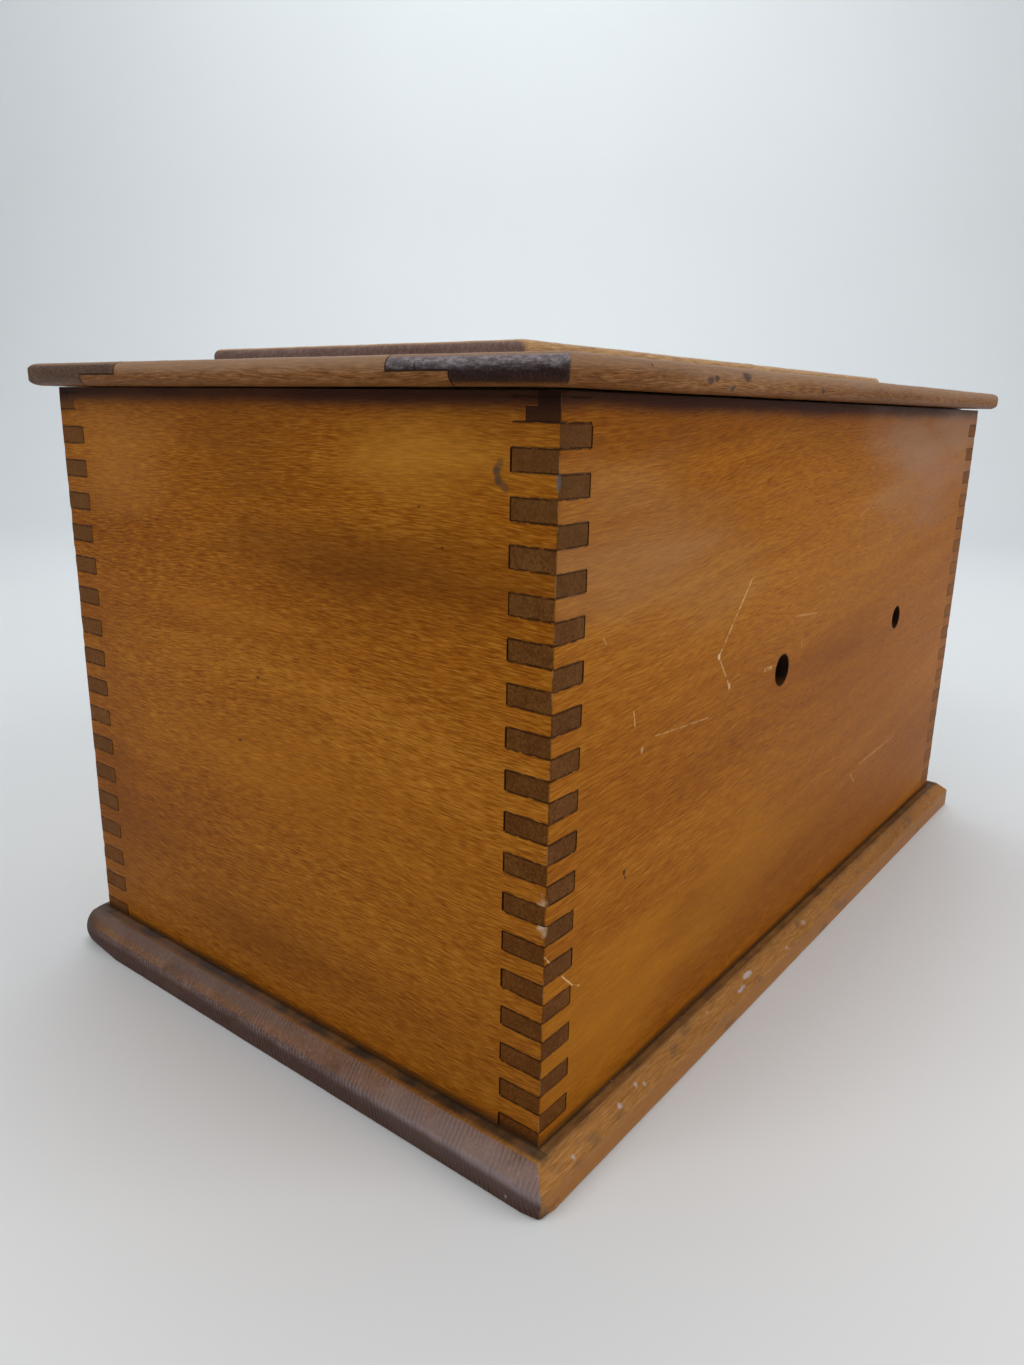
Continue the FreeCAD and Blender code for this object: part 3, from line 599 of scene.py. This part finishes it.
def gap_at_fingers(inner, axis, top):
    """Moves a socket's end away from the finger that it holds, by a gap of its own."""
    def shape(place, normal):
        side = place[axis]
        if abs(abs(side) - inner) < 0.13 * mm and place.z < top:
            course = math.floor((place.z - first_finger) / (2 * finger))
            depth = (0.46 + 0.30 * noise.noise(Vector((course * 1.7, inner * 900.0, side)))) * mm
            place[axis] -= math.copysign(depth, side)
        return wear_case(place)
    return shape


corner_levels = every(finger / 4, case_low.z, case_high.z)
near_corner = [0.35 * mm, 0.8 * mm, rub_width]
corner_x = [sign * (case_high.x - back) for sign in (-1, 1) for back in near_corner]
corner_y = [sign * (case_high.y - back) for sign in (-1, 1) for back in near_corner]
for node, grain, seed, lean, streak, sheen in (
        ("front_wall", "X", 3.0, 0.09, 0.95, 1.08), ("back_wall", "X", 4.4, 0.0, 1.45, 1.14),
        ("left_wall", "Y", 5.9, 0.0, 1.45, 1.12), ("right_wall", "Y", 7.1, 0.0, 1.45, 1.14)):
    is_long = grain == "X"
    cuts = [("Z", corner_levels)]
    cuts.append(("X", corner_x) if is_long else ("Y", corner_y))
    shape = gap_at_fingers(short_inner if is_long else long_inner, 0 if is_long else 1,
                           ledge_level)
    board = worked_copy(node, 0.10 * mm, cuts, shape)
    end_tones = wall_end_tones.get(node, case_end_tones)
    board_finish = case_wood(node + "_wood", grain, seed, end_tones, lean, streak, sheen)
    if node == "left_wall":
        mark_left_wall(board_finish)
    if node == "front_wall":
        mark_front_wall(board_finish)
    board.data.materials.append(board_finish.settle(0.00009))
    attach(board, "case")

# ---------------------------------------------------------------------------------------
# Brass fittings: two butt hinges with their pins and screws, the strike plate screwed into the
# front board, the lock's bolt, and the keyhole plate with its pins. Sheet and bar, gone brown.

brass = metal("aged_brass", (0.52, 0.35, 0.12), (0.17, 0.095, 0.032), 0.32, 5.0)
for node in ("strike_plate", "strike_screws", "lock_bolt", "keyhole_escutcheon",
             "escutcheon_pins", "hinge_wall_screws", "hinge_lid_screws"):
    dress(node, brass)
for side in ("left", "right"):
    for leaf in ("hinge_wall_leaf_", "hinge_lid_leaf_", "hinge_pin_"):
        dress(leaf + side, brass)

# ---------------------------------------------------------------------------------------
# Lid frame. Two long rails and two short ones, lapped and glued at the corners, with a round
# nose all the way round that hands have rubbed pale. The front rail's ends have gone almost
# black and the back rail's brown. The frame hangs on the hinges.

lid_low, lid_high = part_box("lid_front_rail")
lap_length = 18.0 * mm
lap_thickness = 3.3 * mm
rail_tones = ((0.080, 0.028, 0.008), (0.205, 0.080, 0.023), (0.370, 0.185, 0.075))
black_end_tones = ((0.014, 0.007, 0.006), (0.028, 0.015, 0.014), (0.058, 0.037, 0.036))
brown_end_tones = ((0.045, 0.024, 0.015), (0.100, 0.056, 0.034), (0.190, 0.115, 0.075))


def wear_lid(place, normal):
    """Handled edges: shallow dips and nicks along the nose."""
    slow = noise.noise(place * 48.0) * 0.5 + 0.5
    quick = noise.noise(place * 330.0) * 0.5 + 0.5
    return place - normal * (0.14 * slow + 0.14 * quick * quick) * mm


def rail_wood(node, grain, seed):
    """A rail's finish: pale and dusty where hands rub it, brown below, dark dents, and a painted
    highlight across the top of the front rail's dark ends.
    """
    is_front, is_left = node == "lid_front_rail", node == "lid_left_rail"
    end_tones = black_end_tones if is_front else brown_end_tones
    finish = wood(node + "_wood", grain, seed, rail_tones, end_tones, coat=0.10, band=36.0,
                  sheen=1.09 if is_front else 1.14)
    x, y, z = finish.parts(finish.place)
    blotch = finish.cloud((45.0, 45.0, 90.0), (seed, 0.0, 0.0), 4.0, 0.6)
    to_rim = finish.maths("MINIMUM", lid_high.x - abs(x), 0.0 - lid_low.y - abs(y))
    upper = finish.ease(z + blotch * 3.0 * mm, lid_low.z + 3.6 * mm, lid_low.z + 6.8 * mm) \
        * (1.0 - finish.ease(to_rim + blotch * 6.0 * mm, 4.0 * mm, 14.0 * mm) * 0.8)
    finish.tint(upper * (1.0 - finish.is_end) * (0.60 if is_left else 0.45),
                (0.38, 0.245, 0.155), gloss=0.10)
    under = 1.0 - finish.ease(z + blotch * 1.5 * mm, lid_low.z + 0.4 * mm, lid_low.z + 3.4 * mm)
    finish.tint(under * 0.40, (0.215, 0.080, 0.015) if grain == "Y" else (0.110, 0.034, 0.008))
    dents = finish.ease(finish.cloud((190.0, 190.0, 330.0), (4.0, seed, 2.0), 2.0), 0.715, 0.74)
    finish.tint(dents * 0.7, (0.050, 0.032, 0.026), relief=-1.5)
    finish.gloss = finish.gloss - finish.is_end * 0.26
    finish.coat = upper * (0.10 + finish.is_end * (0.50 if is_front else 0.1))
    if is_left:
        past_tongue = finish.maths("MAXIMUM", 0.0 - abs(y) - lid_high.y,
                                   lid_low.z + lap_thickness - z)
        past_block = 0.0 - abs(y) - (lid_high.y - lap_length)
        crevice = finish.maths("MINIMUM", past_tongue, past_block)
        finish.tint((1.0 - finish.ease(crevice, 0.15 * mm, 0.55 * mm)) * 0.85,
                    (0.016, 0.008, 0.006))
    if is_front:
        # Painted highlight: a pale grey band over the upper part of the front rail's dark ends,
        # broken by scuffs.
        highlight_scuffs = finish.cloud((300.0, 420.0, 1500.0), (2.0, 5.0, 1.0), 4.0, 0.7)
        crown_highlight = finish.ease(z + (highlight_scuffs - 0.5) * 2.0 * mm,
                            lid_low.z + 2.9 * mm, lid_low.z + 5.6 * mm)
        finish.tint(finish.is_end * crown_highlight * (0.38 + finish.ease(highlight_scuffs, 0.40, 0.62) * 0.47),
                    (0.350, 0.300, 0.315))
        for along, up, size in ((-109, 190, 2.3), (-106, 190.5, 1.5), (-97, 188.5, 1.6),
                                (-90, 191.5, 3.2), (-40.5, 189.5, 1.8)):
            dent = finish.patch((along * mm, lid_low.y, up * mm),
                                (size * mm, 2 * mm, size * 0.55 * mm),
                                0.5, (500.0, 500.0, 500.0))
            finish.tint(dent * 0.8, (0.052, 0.040, 0.036), relief=-2.0)
        crack = finish.stroke((lid_low.x, -60.5 * mm, 193.5 * mm),
                              (lid_low.x, -61.5 * mm, 190 * mm), 0.35 * mm)
        finish.tint(crack * 0.9, (0.008, 0.005, 0.005), relief=-2.0)
    return finish


rail_step, rail_layer = 2.6 * mm, 1.2 * mm
for node, grain, seed in (("lid_front_rail", "X", 8.3), ("lid_back_rail", "X", 9.6),
                          ("lid_left_rail", "Y", 10.2), ("lid_right_rail", "Y", 11.9)):
    low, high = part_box(node)
    cuts = [("X", every(rail_step, low.x, high.x)), ("Y", every(rail_step, low.y, high.y)),
            ("Z", every(rail_layer, low.z, high.z))]
    rail = worked_copy(node, 0.12 * mm, cuts, wear_lid, smooth_all=True)
    rail.data.materials.append(rail_wood(node, grain, seed).settle(0.00010))
    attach(rail, "lid")

# ---------------------------------------------------------------------------------------
# Raised panel: a lighter board on the frame, its edges rounded over, with the coin slot in
# its middle and the keyhole near its front edge. Glued down to the rails.

panel_low, panel_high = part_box("lid_panel")
panel_finish = wood("lid_panel_wood", "X", 13.0,
                    ((0.260, 0.125, 0.045), (0.450, 0.255, 0.110), (0.640, 0.420, 0.220)),
                    ((0.110, 0.066, 0.054), (0.200, 0.130, 0.110), (0.310, 0.225, 0.195)),
                    coat=0.12, band=24.0)
panel_step = 2.8 * mm
panel_cuts = [("X", every(panel_step, panel_low.x, panel_high.x)),
              ("Y", every(panel_step, panel_low.y, panel_high.y))]
panel = worked_copy("lid_panel", 0.12 * mm, panel_cuts, wear_lid, smooth_all=True)
panel.data.materials.append(panel_finish.settle(0.00008))
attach(panel, "lid")

# ---------------------------------------------------------------------------------------
# Lining: the thin bare board under the frame that drops into the walls' top rebate, glued
# and screwed up into the rails.

lining_finish = wood("lid_lining_wood", "X", 15.0,
                     ((0.260, 0.150, 0.070), (0.420, 0.270, 0.140), (0.560, 0.400, 0.240)),
                     ((0.150, 0.090, 0.045), (0.260, 0.165, 0.090), (0.380, 0.260, 0.150)),
                     coat=0.0, band=30.0)
dress("lid_lining", lining_finish.settle(0.00008))

# ---------------------------------------------------------------------------------------
# Floor, lights and camera. A pale floor that runs up into a pale wall behind, big soft
# lights, and the camera at the height of the lid, close to the near corner.

stage_half = 7.0
sweep_start = 1.1
sweep_radius = 0.6
sweep_steps = 16


def sweep_outline():
    """The floor's section: flat, a quarter round, then upright."""
    points = [(-stage_half, 0.0), (sweep_start, 0.0)]
    for step in range(1, sweep_steps + 1):
        turn = math.radians(90) * step / sweep_steps
        points.append((sweep_start + sweep_radius * math.sin(turn),
                       sweep_radius * (1 - math.cos(turn))))
    return points + [(sweep_start + sweep_radius, stage_half)]


camera_place = Vector((-0.3219, -0.2095, 0.1825))
camera_turn = [math.radians(angle) for angle in (74.59, -1.09, -52.02)]
sweep = bpy.data.meshes.new("floor")
outline = sweep_outline()
corners = [(side, depth, height) for depth, height in outline
           for side in (-stage_half, stage_half)]
faces = [(2 * i, 2 * i + 1, 2 * i + 3, 2 * i + 2) for i in range(len(outline) - 1)]
sweep.from_pydata(corners, [], faces)
for face in sweep.polygons:
    face.use_smooth = True
floor = bpy.data.objects.new("floor", sweep)
floor.rotation_euler = (0.0, 0.0, camera_turn[2])
bpy.context.collection.objects.link(floor)
floor_finish = Finish("pale_floor")
floor_finish.colour = floor_finish.mix(floor_finish.cloud((3.0, 3.0, 3.0)), (0.74, 0.76, 0.77),
                                       (0.78, 0.80, 0.81))
floor_finish.gloss, floor_finish.coat = 0.6, 0.0
floor.data.materials.append(floor_finish.settle(0.00002))


def soft_light(name, place, aim, size, power, colour):
    """A square soft box at a place, turned to its aim."""
    data = bpy.data.lights.new(name, "AREA")
    data.shape, data.size, data.energy, data.color = "SQUARE", size, power, colour
    light = bpy.data.objects.new(name, data)
    light.location = place
    light.rotation_euler = (Vector(aim) - Vector(place)).to_track_quat("-Z", "Y").to_euler()
    bpy.context.collection.objects.link(light)


middle = (0.0, 0.0, 0.09)
soft_light("key", (-1.3, 0.25, 1.15), middle, 1.0, 9.5, (1.0, 0.97, 0.93))
soft_light("fill", (0.5, -1.5, 0.9), middle, 1.1, 14.0, (1.0, 0.98, 0.96))
soft_light("top", (0.1, 0.1, 1.7), middle, 1.4, 7.0, (1.0, 0.99, 0.97))
soft_light("back", (0.5, 0.5, 1.5), (1.3, 1.0, 0.5), 1.0, 9.0, (0.90, 0.97, 1.0))

world = bpy.data.worlds.new("studio")
bpy.context.scene.world = world
world.use_nodes = True
background = world.node_tree.nodes["Background"].inputs
background["Color"].default_value = (0.88, 0.93, 1.0, 1.0)
background["Strength"].default_value = 0.30
bpy.context.scene.view_settings.view_transform = "Standard"

eye = bpy.data.cameras.new("camera")
eye.sensor_width = 36.0
eye.lens = 26.0
camera = bpy.data.objects.new("camera", eye)
camera.location = camera_place
camera.rotation_euler = camera_turn
bpy.context.collection.objects.link(camera)
bpy.context.scene.camera = camera
